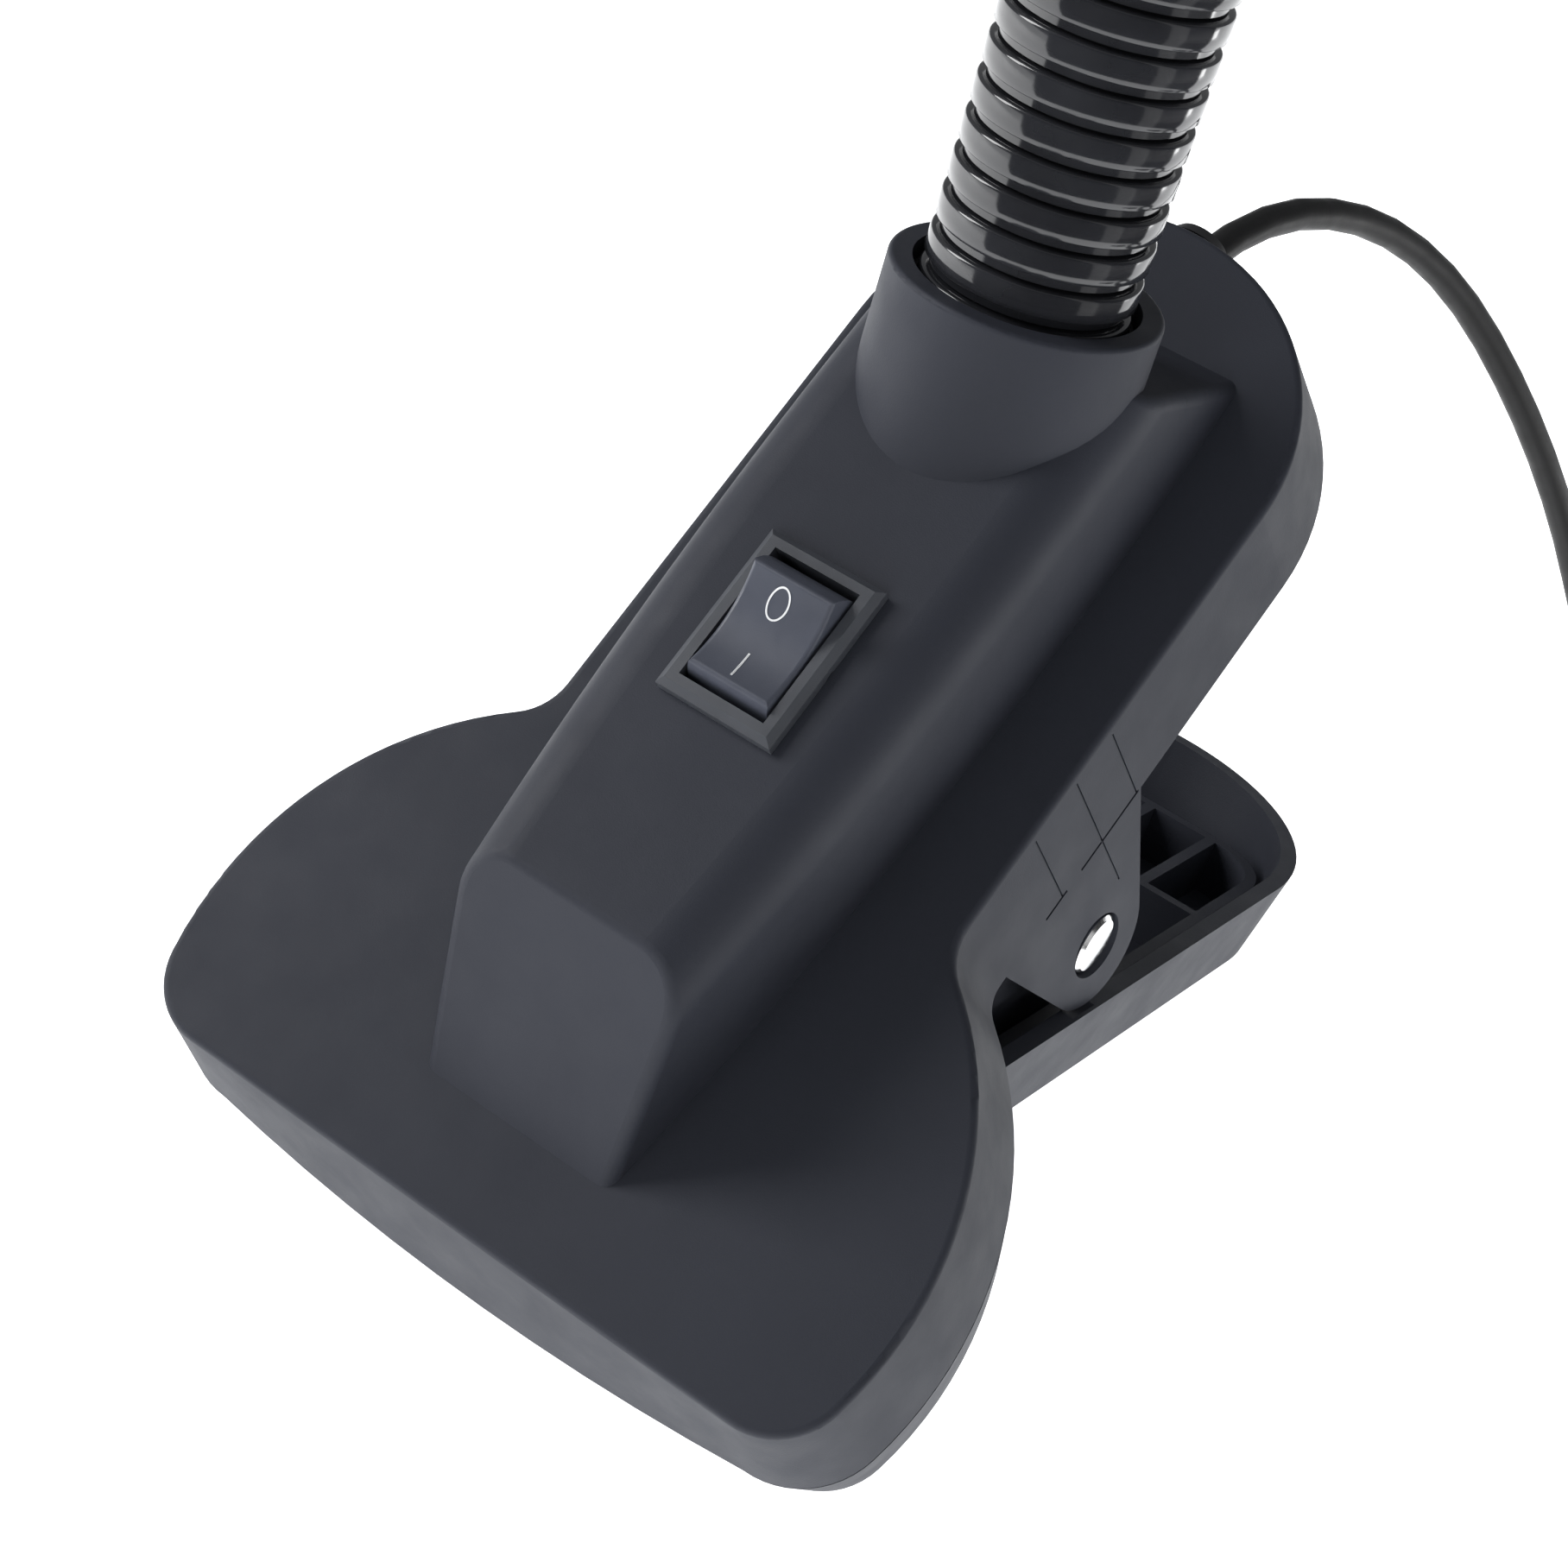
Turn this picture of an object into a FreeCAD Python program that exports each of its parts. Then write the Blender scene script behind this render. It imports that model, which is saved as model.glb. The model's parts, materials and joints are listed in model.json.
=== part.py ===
import FreeCAD, Part
import math
import os
import Sketcher
from FreeCAD import Placement, Rotation, Vector

# Clip-on gooseneck base. The object is drawn in the jaw frame: X to the right, Y from the mouth towards the
# handles, Z up, zero on the upper jaw's flat top. STAND then sets the closed clip on a table, where it rests
# on its lower lip and on the end of its lower handle. The cord is drawn in the table's frame.

doc = FreeCAD.newDocument("clip_stand")
sheet = doc.addObject("Spreadsheet::Sheet", "Sizes")
SIZES = {
    # plan of the jaws
    "front_reach": 94.8, "handle_half": 28.0, "handle_reach": 48.6, "corner_radius": 9.0,
    "flank_radius": 43.5, "flank_x": 4.3, "flank_y": -78.0, "waist_radius": 7.5, "front_bow": 2.2,
    # upper jaw's section
    "plate_thick": 2.6, "skirt_drop": 15.2, "skirt_flare": 2.2, "wall": 2.3, "edge_round": 0.9,
    # housing and collar
    "housing_top": 22.7, "foot_front": 82.6, "foot_front_half": 12.4, "widest_half": 17.6, "widest_y": -20.0,
    "rear_half": 16.4, "front_slope": 48.5, "rear_slope": 51.0, "rear_foot": 33.5, "shoulder": 6.5,
    "neck_lean": 41.3, "rim_y": 19.9, "rim_z": 26.5, "collar_radius": 15.5, "collar_bore": 12.9,
    "bore_depth": 12.0, "collar_long": 26.0, "ledge": 3.0,
    # switch
    "switch_y": -28.2, "flange_wide": 15.0, "flange_long": 21.0, "flange_thick": 2.0, "barrel_wide": 12.9,
    "barrel_long": 19.0, "barrel_deep": 11.0, "barrel_wall": 0.9, "rocker_wide": 10.4, "rocker_reach": 8.1,
    "rocker_tilt": 10.0, "pivot_drop": 1.0,
    # hinge
    "pin_y": -23.9, "pin_z": -30.3, "pin_radius": 2.5, "pin_play": 0.05, "head_radius": 3.9,
    "head_thick": 1.4, "seat_radius": 4.3, "ear_round": 8.5, "ear_thick": 3.0, "inner_ear": 27.0,
    "coil_radius": 6.6, "spring_wire": 1.7, "bush_radius": 5.2, "bush_long": 26.0,
    # lower jaw
    "jaw_gap": 0.3, "lower_rise": 14.0, "lower_half": 32.4, "lower_end": 27.5, "bend_y": -48.6,
    "handle_bend": 47.9, "lower_handle": 116.0,
    # neck
    "sleeve_radius": 11.9, "groove_radius": 10.8, "ring_pitch": 4.3, "ridge": 2.7, "core_radius": 4.6,
    "sleeve_inner": 5.0, "sleeve_start": 8.6, "base_rings": 6, "link_rings": 5, "link_swing": 25.0,
    "nipple_radius": 5.0, "nipple_long": 10.0,
    # cord
    "cord_radius": 2.0, "cord_long": 1500.0, "coil_middle": 24.0, "plug_wide": 15.6, "plug_high": 8.0,
    "plug_long": 24.0, "shell_wide": 12.0, "shell_high": 4.5, "shell_long": 18.8,
}
for row, (alias, value) in enumerate(SIZES.items(), 1):
    sheet.set("A%d" % row, alias)
    sheet.set("B%d" % row, str(value))
    sheet.setAlias("B%d" % row, alias)
doc.recompute()


def size(alias):
    return float(sheet.get(alias))


X_AXIS = Vector(1, 0, 0)
Y_AXIS = Vector(0, 1, 0)
Z_AXIS = Vector(0, 0, 1)
HERE = Placement()
pieces = []


def keep(obj, label, placement):
    """Names a finished sub-part and puts it in its place."""
    obj.Label = label
    obj.Placement = placement
    pieces.append(obj)
    return obj


def round_section(radius, centre, way, parts=8):
    """Circle in several arcs, so that a thin wire swept along it stays round when it is meshed."""
    step = 360 / parts
    arcs = [Part.makeCircle(radius, centre, way, k * step, (k + 1) * step) for k in range(parts)]
    return Part.Wire(Part.__sortEdges__(arcs))


def free_form(label, shape, placement):
    """A sub-part whose shape Part's functions work out."""
    feature = doc.addObject("Part::Feature", label)
    feature.Shape = shape
    return keep(feature, label, placement.multiply(shape.Placement))


def bind(obj, **cells):
    """Ties properties to expressions, in which @ stands for the sheet."""
    for prop, text in cells.items():
        obj.setExpression(prop, text.replace("@", "Sizes."))
    return obj


def primitive(kind, **cells):
    obj = doc.addObject("Part::" + kind, kind)
    return bind(obj, **cells)


def boolean(kind, base, tool):
    obj = doc.addObject("Part::" + kind, kind)
    obj.Base, obj.Tool = base, tool
    return obj


def joined(*parts):
    obj = doc.addObject("Part::MultiFuse", "Fusion")
    obj.Shapes = list(parts)
    return obj


def new_body(label):
    body = doc.addObject("PartDesign::Body", label)
    body.Label = label
    return body


def new_sketch(body, name, role, offset=0.0):
    """An empty sketch on one of the body's own origin planes."""
    plane = next(f for f in body.Origin.OriginFeatures if f.Role == role)
    sketch = body.newObject("Sketcher::SketchObject", name)
    sketch.AttachmentSupport = [(plane, "")]
    sketch.MapMode = "FlatFace"
    sketch.AttachmentOffset = Placement(Vector(0, 0, offset), Rotation())
    return sketch


def rectangle(sketch, wide, long):
    """A centred rectangle, wide along the sketch's X, both sizes as expressions."""
    first = sketch.GeometryCount
    corners = [Vector(x, y, 0) for x, y in ((-4, -3), (4, -3), (4, 3), (-4, 3))]
    for index in range(4):
        sketch.addGeometry(Part.LineSegment(corners[index], corners[(index + 1) % 4]), False)
    for index in range(4):
        following = first + (index + 1) % 4
        sketch.addConstraint(Sketcher.Constraint("Coincident", first + index, 2, following, 1))
    for index in (0, 2):
        sketch.addConstraint(Sketcher.Constraint("Horizontal", first + index))
        sketch.addConstraint(Sketcher.Constraint("Vertical", first + index + 1))
    sketch.addConstraint(Sketcher.Constraint("Symmetric", first, 1, first + 1, 2, -1, 1))
    for kind, edge, text in (("DistanceX", first, wide), ("DistanceY", first + 1, long)):
        number = sketch.addConstraint(Sketcher.Constraint(kind, edge, 1, edge, 2, 6.0))
        sketch.setExpression("Constraints[%d]" % number, text.replace("@", "Sizes."))


def circle(sketch, radius, x=0.0, y=0.0):
    """A circle with its radius as an expression."""
    edge = sketch.addGeometry(Part.Circle(Vector(x, y, 0), Z_AXIS, 1.0), False)
    if x == 0 and y == 0:
        sketch.addConstraint(Sketcher.Constraint("Coincident", edge, 3, -1, 1))
    else:
        sketch.addConstraint(Sketcher.Constraint("DistanceX", -1, 1, edge, 3, x))
        sketch.addConstraint(Sketcher.Constraint("DistanceY", -1, 1, edge, 3, y))
    number = sketch.addConstraint(Sketcher.Constraint("Radius", edge, 1.0))
    sketch.setExpression("Constraints[%d]" % number, radius.replace("@", "Sizes."))


def closed_profile(sketch, points):
    for index, (x, y) in enumerate(points):
        after = points[(index + 1) % len(points)]
        sketch.addGeometry(Part.LineSegment(Vector(x, y, 0), Vector(after[0], after[1], 0)), False)
    for index in range(len(points)):
        sketch.addConstraint(Sketcher.Constraint("Coincident", index, 2, (index + 1) % len(points), 1))


def pad(body, sketch, length):
    feature = body.newObject("PartDesign::Pad", "Pad")
    feature.Profile = sketch
    bind(feature, Length=length)
    return feature


def pocket(body, sketch, length, reversed_way=False):
    feature = body.newObject("PartDesign::Pocket", "Pocket")
    feature.Profile = sketch
    feature.Reversed = reversed_way
    bind(feature, Length=length)
    return feature


def turned(label, points, placement):
    """A body turned about its own Z, from a profile of (radius, height) points."""
    body = new_body(label)
    sketch = new_sketch(body, label + "_profile", "XZ_Plane")
    closed_profile(sketch, points)
    turn = body.newObject("PartDesign::Revolution", "Revolution")
    turn.Profile = sketch
    turn.ReferenceAxis = (sketch, ["V_Axis"])
    turn.Angle = 360.0
    return keep(body, label, placement)


def fused(*shapes):
    return shapes[0].fuse(list(shapes[1:])).removeSplitter()


def block(low, high):
    return Part.makeBox(high[0] - low[0], high[1] - low[1], high[2] - low[2], Vector(*low))


def half_space(point, normal):
    """A big block on the side of the plane that its normal points to."""
    reach = 400.0
    solid = Part.makeBox(reach, reach, reach, Vector(-reach / 2, -reach / 2, 0))
    solid.Placement = Placement(point, Rotation(Z_AXIS, normal))
    return solid


def tube(start, end, radius):
    return Part.makeCylinder(radius, (end - start).Length, start, end - start)


def wire_run(points, radius):
    """Round wire along straight runs, with a ball in each corner."""
    runs = [tube(a, b, radius) for a, b in zip(points, points[1:])]
    balls = [Part.makeSphere(radius, p) for p in points[1:-1]]
    return fused(*runs, *balls)


# ---------------------------------------------------------------- frames
drop = size("skirt_drop")
flare = size("skirt_flare")
slope = flare / drop
wall = size("wall")
plate = size("plate_thick")
half = size("handle_half")
bend = math.radians(size("handle_bend"))
lower_rise = size("lower_rise")
rim_level = -drop - size("jaw_gap")
bend_point = Vector(0, size("bend_y"), rim_level)
handle_run = Vector(0, math.cos(bend), -math.sin(bend))
handle_down = Vector(0, -math.sin(bend), -math.cos(bend))
edge = size("edge_round")
heel = bend_point + handle_run * (size("lower_handle") - flare - edge) + handle_down * lower_rise
handle_tip = bend_point + handle_run * size("lower_handle")
lip = Vector(0, edge - size("front_reach"), rim_level - lower_rise)
tilt = Rotation(X_AXIS, math.degrees(math.atan2(lip.z - heel.z, heel.y - lip.y)))
# the lowest edges come to the table, and the middle of the object's length to the origin
front_edge = tilt.multVec(Vector(0, -size("front_reach") + 0.27, 0))
shift = -(front_edge.y + tilt.multVec(handle_tip).y) / 2
STAND = Placement(Vector(0, shift, -tilt.multVec(lip).z), tilt)
lean = math.radians(size("neck_lean"))
neck_axis = Vector(0, math.sin(lean), math.cos(lean))
rim_centre = Vector(0, size("rim_y"), size("rim_z"))
pin_centre = Vector(0, size("pin_y"), size("pin_z"))
ear_face = half - slope * pin_centre.z
cord_level = -6.0


def on_neck(distance):
    """Placement on the neck's axis, that far past the collar's rim, with Z along the neck."""
    return STAND * Placement(rim_centre + neck_axis * distance, Rotation(Z_AXIS, neck_axis))


# ---------------------------------------------------------------- plan of the jaws
def arc(centre, radius, start, end, level):
    """Arc edge in a level plane, angles in radians."""
    def at(angle):
        return Vector(centre[0] + radius * math.cos(angle), centre[1] + radius * math.sin(angle), level)
    return Part.Arc(at(start), at((start + end) / 2), at(end)).toShape()


def outline(grow, level, side, reach, end, bow):
    """Bell-shaped plan as one tangent chain of lines and arcs, grown outward by grow."""
    corner = size("corner_radius")
    flank = size("flank_radius")
    waist = size("waist_radius")
    fx, fy = size("flank_x"), size("flank_y")
    front = size("front_reach")
    cy = corner - front
    cx = fx + math.sqrt((flank - corner) ** 2 - (cy - fy) ** 2)
    wx = side + waist
    wy = fy + math.sqrt((flank + waist) ** 2 - (wx - fx) ** 2)
    ex, ey = side - end, reach - end
    corner_turn = math.atan2(cy - fy, cx - fx)
    waist_turn = math.atan2(wy - fy, wx - fx)
    right = [
        arc((cx, cy), corner + grow, -math.pi / 2, corner_turn, level),
        arc((fx, fy), flank + grow, corner_turn, waist_turn, level),
        arc((wx, wy), waist - grow, waist_turn + math.pi, math.pi, level),
        Part.LineSegment(Vector(side + grow, wy, level), Vector(side + grow, ey, level)).toShape(),
        arc((ex, ey), end + grow, 0, math.pi / 2, level),
    ]
    left = [edge.mirror(Vector(0, 0, 0), X_AXIS) for edge in right]
    front_y = -front - grow
    ends = [Vector(-cx, front_y, level), Vector(cx, front_y, level)]
    front_line = Part.Arc(ends[0], Vector(0, front_y - bow, level), ends[1]).toShape()
    middle = [front_line]
    if ex > 0:
        rear_y = reach + grow
        middle.append(Part.LineSegment(Vector(ex, rear_y, level), Vector(-ex, rear_y, level)).toShape())
    return Part.Wire(Part.__sortEdges__(right + left + middle))


def drafted(sections, side, reach, end):
    """Solid through (grow, level, bow) plans of one outline, so that its walls are drafted."""
    wires = [outline(grow, level, side, reach, end, bow) for grow, level, bow in sections]
    return Part.makeLoft(wires, True, True)


def edges_where(shape, test):
    return [e for e in shape.Edges if test(e.CenterOfMass) and all(test(v.Point) for v in e.Vertexes)]


# ---------------------------------------------------------------- upper jaw
def housing_block(inset, bottom):
    """The housing's outside, or its hollow when inset is a wall, without the collar."""
    top = size("housing_top") - inset
    front_half = size("foot_front_half") - inset
    rear_half = size("rear_half") - inset
    widest = size("widest_half") - inset
    front_y = -size("foot_front") - 4
    rear_y = size("rear_foot") + 8
    middle_y = size("widest_y")
    right = Part.Arc(Vector(front_half, front_y, bottom), Vector(widest, middle_y, bottom),
                     Vector(rear_half, rear_y, bottom)).toShape()
    left = right.mirror(Vector(0, 0, 0), X_AXIS)
    front = Part.LineSegment(Vector(-front_half, front_y, bottom), Vector(front_half, front_y, bottom))
    rear = Part.LineSegment(Vector(rear_half, rear_y, bottom), Vector(-rear_half, rear_y, bottom))
    plan = Part.Wire(Part.__sortEdges__([front.toShape(), right, rear.toShape(), left]))
    solid = Part.Face(plan).extrude(Vector(0, 0, top - bottom))
    shoulders = edges_where(solid, lambda p: abs(p.z - top) < 0.01 and abs(p.x) > 6)
    solid = solid.makeFillet(max(size("shoulder") - inset, 1.5), shoulders)
    for angle, y, way in (("front_slope", -size("foot_front"), -1), ("rear_slope", size("rear_foot"), 1)):
        steep = math.radians(size(angle))
        normal = Vector(0, way * math.sin(steep), math.cos(steep))
        solid = solid.cut(half_space(Vector(0, y, 0) - normal * inset, normal))
        if not inset:
            slanted = min(solid.Faces, key=lambda f: (f.normalAt(0, 0) - normal).Length)
            rims = [e for e in slanted.Edges if e.CenterOfMass.z > bottom + 0.5]
            solid = solid.makeFillet(1.5, rims)
    return solid


def along_neck(distance, radius, length):
    """Cylinder on the neck's axis that starts that far past the collar's rim."""
    return Part.makeCylinder(radius, length, rim_centre + neck_axis * distance, neck_axis)


def tongue(root_a, root_b, centre, radius, x_low, x_high):
    """Ear profile, two straight flanks tangent to a round end, as a prism along X."""
    def tangent(root, turn):
        away = root - centre
        angle = math.atan2(away.z, away.y) + turn * math.acos(radius / math.hypot(away.y, away.z))
        return centre + Vector(0, math.cos(angle), math.sin(angle)) * radius
    candidates = [(tangent(root_a, a), tangent(root_b, -a)) for a in (-1, 1)]
    first, last = max(candidates, key=lambda pair: (pair[0] - pair[1]).Length)
    out = (centre - (root_a + root_b) * 0.5).normalize()
    edges = [Part.LineSegment(root_a, first).toShape(),
             Part.Arc(first, centre + out * radius, last).toShape(),
             Part.LineSegment(last, root_b).toShape(),
             Part.LineSegment(root_b, root_a).toShape()]
    face = Part.Face(Part.Wire(edges))
    face.translate(Vector(x_low, 0, 0))
    return face.extrude(Vector(x_high - x_low, 0, 0))


def flared_slab(side, low, high, front, rear, thick):
    """A slab on one side with the skirt's own slope outside, also below the skirt."""
    corners = [(half - slope * high, high), (half - slope * low, low),
               (half - slope * low - thick, low), (half - slope * high - thick, high)]
    points = [Vector(side * x, front, z) for x, z in corners]
    return Part.Face(Part.makePolygon(points + points[:1])).extrude(Vector(0, rear - front, 0))


def mirrored_pairs(*places):
    """Each (x, y) place and its twin on the other side."""
    return [Vector(side * x, y, 0) for x, y in places for side in (-1, 1)]


cover_holes = mirrored_pairs((8.5, -57.5), (11.0, 14.0))
clamp_holes = mirrored_pairs((9.0, 38.0))


def upper_jaw():
    bow = size("front_bow")
    plan = (half, size("handle_reach"), half)
    outer = drafted([(0, 0, 0.01), (flare, -drop, bow)], *plan)
    outer = outer.makeFillet(edge, edges_where(outer, lambda p: abs(p.z) < 0.01))
    below = drop + 2
    hollow = drafted([(slope * plate - wall, -plate, 0.01), (slope * below - wall, -below, bow)], *plan)
    collar = along_neck(-size("collar_long"), size("collar_radius"), size("collar_long"))
    rim = edges_where(collar, lambda p: abs((p - rim_centre).dot(neck_axis)) < 0.01)
    collar = collar.makeFillet(0.6, rim).common(half_space(Vector(0, 0, 4), Z_AXIS))
    ribs = [block((-44, y - 0.8, 4 - drop), (44, y + 0.8, -plate)) for y in (-80.0, -72.0, -52.0)]
    ribs += [block((x - 0.8, -40, 4 - drop), (x + 0.8, 44, -plate)) for x in (-21.0, 21.0)]
    ribs = fused(*ribs).common(drafted([(-0.5, 0, 0.01), (flare - 0.5, -drop, bow)], *plan))
    ribs = ribs.cut(block((-19, -76, -drop), (19, 34, 1)))
    shell = fused(outer.cut(hollow), ribs, housing_block(0, -0.5))
    shell = shell.cut(housing_block(wall, -plate - 1))
    inside = housing_block(1.0, -plate)
    bosses = [tube(p - Z_AXIS * plate, p + Z_AXIS * 21.5, 3.2).common(inside) for p in cover_holes]
    bosses += [tube(p - Z_AXIS * 4.2, p - Z_AXIS, 3.0) for p in clamp_holes]
    shell = fused(shell, collar, *bosses)
    bore = size("collar_bore")
    deep = size("bore_depth")
    ledge = size("ledge")
    shell = shell.cut(along_neck(-deep, bore, deep + 5))
    shell = shell.cut(along_neck(-deep - ledge - 1, 6.1, ledge + 2))
    shell = shell.cut(along_neck(-size("collar_long") - 9, bore, size("collar_long") + 9 - deep - ledge))
    for point in cover_holes:
        shell = shell.cut(tube(point + Vector(0, 0, -plate - 1), point + Vector(0, 0, 10), 1.25))
    for point in clamp_holes:
        shell = shell.cut(tube(point + Vector(0, 0, -6), point + Vector(0, 0, -1.2), 1.25))
    wide = size("barrel_wide") / 2 + 0.05
    long = size("barrel_long") / 2 + 0.05
    top = size("housing_top")
    y = size("switch_y")
    shell = shell.cut(block((-wide, y - long, top - 6), (wide, y + long, top + 3)))
    root = -drop + 2
    lobe = tongue(Vector(0, -37.0, root), Vector(0, -8.6, root), pin_centre, size("ear_round"), -60, 60)
    ears = [flared_slab(side, -drop - 34, root, -70, 20, size("ear_thick")).common(lobe) for side in (-1, 1)]
    shell = fused(shell, *ears)
    for side in (-1, 1):
        # the slits along an ear's root, and the lines that the mould's slides leave on the skirt
        for rear, front in ((-9.8, -21.4), (-24.3, -28.5)):
            shell = shell.cut(flared_slab(side, -drop - 0.1, -drop + 0.3, front, rear, 0.7))
        for y, low in ((-10.2, -drop), (-17.2, -drop - 9.5), (-25.2, -drop)):
            shell = shell.cut(flared_slab(side, low, -1.5, y - 0.12, y + 0.12, 0.2))
    shell = shell.cut(tube(pin_centre - X_AXIS * 60, pin_centre + X_AXIS * 60,
                           size("pin_radius") + size("pin_play")))
    seat = ear_face - size("head_thick") - 0.3
    for side in (-1, 1):
        shell = shell.cut(tube(pin_centre + X_AXIS * side * seat, pin_centre + X_AXIS * side * 60,
                               size("seat_radius")))
    skirt_hole = Vector(0, size("handle_reach"), cord_level)
    return shell.cut(tube(skirt_hole - Y_AXIS * 6, skirt_hole + Y_AXIS * 6, size("cord_radius") + 1.2))


# ---------------------------------------------------------------- lower jaw
def tray():
    """The lower jaw's tray before it is bent, and the same without its hollow."""
    bow = size("front_bow")
    reach = size("bend_y") + size("lower_handle") - flare
    plan = (size("lower_half"), reach, size("lower_end"))
    floor = rim_level - lower_rise
    outer = drafted([(-edge, floor, 0.01), (0, floor + edge, 0.01), (flare, rim_level, bow)], *plan)
    steep = flare / lower_rise
    hollow = drafted([(steep * wall - wall, floor + wall, 0.01),
                      (flare + steep * 2 - wall, rim_level + 2, bow)], *plan)
    return outer.cut(hollow), outer


def lower_jaw():
    """Front tray in line with the upper jaw, handle tray bent down behind the waist."""
    shell, outer = tray()
    mitre = Vector(0, math.cos(bend / 2), -math.sin(bend / 2))
    swing = math.degrees(bend)
    floor = rim_level - lower_rise
    low, high = floor + 1, rim_level - 3
    cross = [block((-50, y - 0.8, low), (50, y + 0.8, high)) for y in (-78.0, -62.0)]
    lengthwise = [block((x - 0.8, -96, low), (x + 0.8, -48, high)) for x in (-22.0, 0.0, 22.0)]
    front_ribs = fused(*cross, *lengthwise)
    front = fused(shell, front_ribs.common(outer)).cut(half_space(bend_point, mitre))
    start = size("bend_y")
    loop_high = rim_level - 4
    loop_end = start + size("lower_handle") - 16.5
    ring = block((-30, start + 8, low), (30, loop_end, loop_high))
    corners = edges_where(ring, lambda p: abs(p.x) > 29 and p.y > loop_end - 1)
    ring = ring.makeFillet(9, [e for e in corners if e.Length > 5 and abs(e.CenterOfMass.y - loop_end) < 0.01
                               and abs(abs(e.CenterOfMass.x) - 30) < 0.01])
    inner = block((-28.4, start, low - 1), (28.4, loop_end - 1.6, rim_level))
    inner_corners = [e for e in inner.Edges if abs(abs(e.CenterOfMass.x) - 28.4) < 0.01
                     and abs(e.CenterOfMass.y - loop_end + 1.6) < 0.01]
    loop = ring.cut(inner.makeFillet(7.4, inner_corners))
    bars = [block((x - 0.8, loop_end - 24, low), (x + 0.8, loop_end - 0.5, loop_high))
            for x in (-20.0, -10.0, 0.0, 10.0, 20.0)]
    bars.append(block((-29, loop_end - 25.6, low), (29, loop_end - 24, loop_high)))
    bars.append(block((-29, start + 8, low), (29, start + 9.6, loop_high)))
    handle = fused(shell, fused(loop, *bars).common(outer))
    handle.rotate(bend_point, X_AXIS, -swing)
    handle = handle.cut(half_space(bend_point, mitre * -1))
    ear_low = bend_point + handle_run * 9 + handle_down * (lower_rise - 1)
    ear_high = bend_point + handle_run * 43 + handle_down * (lower_rise - 1)
    face = size("inner_ear")
    lobes = []
    for side in (-1, 1):
        near, far = sorted((side * face, side * (face - size("ear_thick"))))
        lobes.append(tongue(ear_low, ear_high, pin_centre, size("ear_round") - 0.5, near, far))
    # the inner half of the rim makes way for the upper jaw's ears
    way = size("ear_round") + 0.4
    for side in (-1, 1):
        near, far = side * (face + 0.4), side * (size("lower_half") + 1.7)
        handle = handle.cut(tube(pin_centre + X_AXIS * near, pin_centre + X_AXIS * far, way))
    jaw = fused(front, handle, *lobes)
    return jaw.cut(tube(pin_centre - X_AXIS * 60, pin_centre + X_AXIS * 60, size("pin_radius")))


# ---------------------------------------------------------------- jaws and what is screwed to them
free_form("upper_jaw_shell", upper_jaw(), STAND)
free_form("lower_jaw_tray", lower_jaw(), STAND)


def in_jaw(x, y, z, turn=Rotation()):
    """Placement of a piece drawn about its own origin, given in the jaw frame."""
    return STAND * Placement(Vector(x, y, z), turn)


def grip_pad(label, top, thick):
    """Ribbed rubber block that lies on a jaw's ribs, just inside the mouth."""
    body = new_body(label)
    plan = new_sketch(body, label + "_plan", "XY_Plane")
    rectangle(plan, "68", "20")
    solid = pad(body, plan, thick)
    doc.recompute()
    upright = [("Edge%d" % (i + 1)) for i, e in enumerate(solid.Shape.Edges)
               if abs(e.Vertexes[0].X - e.Vertexes[-1].X) + abs(e.Vertexes[0].Y - e.Vertexes[-1].Y) < 0.01]
    rounding = body.newObject("PartDesign::Fillet", "Corners")
    rounding.Base = (solid, upright)
    rounding.Radius = 4.0
    return keep(body, label, in_jaw(0, -78.0, top))


grip_pad("upper_grip_pad", -drop + 0.2, "3.7")
grip_pad("lower_grip_pad", rim_level - 3.0, "2.8")

cover_long = 100.0
cover_middle = -24.0
cover_thick = 1.8


def housing_cover():
    body = new_body("housing_cover")
    plan = new_sketch(body, "cover_plan", "XY_Plane")
    rectangle(plan, "36", str(cover_long))
    pad(body, plan, str(cover_thick))
    holes = new_sketch(body, "cover_screw_holes", "XY_Plane", cover_thick)
    for point in cover_holes:
        circle(holes, "1.6", point.x, point.y - cover_middle)
    pocket(body, holes, str(cover_thick))
    return keep(body, "housing_cover", in_jaw(0, cover_middle, -plate - cover_thick))


def screw(place, head_down, shank):
    """Pan head screw driven upward, its head's top face at head_down."""
    foot = Vector(place.x, place.y, head_down)
    head = Part.makeCone(2.3, 2.8, 1.6, foot - Z_AXIS * 1.6)
    drive = block((-1.6, -0.35, 0), (1.6, 0.35, 0.8))
    cross = fused(drive, drive.copy().rotated(Vector(0, 0, 0), Z_AXIS, 90))
    cross.translate(foot - Z_AXIS * 1.7)
    return fused(head, tube(foot, foot + Z_AXIS * shank, 1.25)).cut(cross)


housing_cover()
cover_level = -plate - cover_thick
cover_screws = [screw(p, cover_level, 9.0) for p in cover_holes]
free_form("cover_screws", Part.makeCompound(cover_screws), STAND)

# ---------------------------------------------------------------- cord entry
bar_low = -10.0
bar_high = -4.2
bar = primitive("Box", Length="24", Width="5", Height=str(bar_high - bar_low))
bar.Placement = Placement(Vector(-12, 35.5, bar_low), Rotation())
saddle = primitive("Cylinder", Radius="@cord_radius", Height="9")
saddle.Placement = Placement(Vector(0, 33.5, cord_level), Rotation(Z_AXIS, Y_AXIS))
slot = primitive("Box", Length="2 * @cord_radius", Width="9", Height="4")
slot.Placement = Placement(Vector(-size("cord_radius"), 33.5, cord_level), Rotation())
holes = [primitive("Cylinder", Radius="1.5", Height="9") for point in clamp_holes]
for hole, point in zip(holes, clamp_holes):
    hole.Placement = Placement(Vector(point.x, point.y, bar_low - 1), Rotation())
keep(boolean("Cut", bar, joined(saddle, slot, *holes)), "cord_clamp_bar", STAND)
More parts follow.
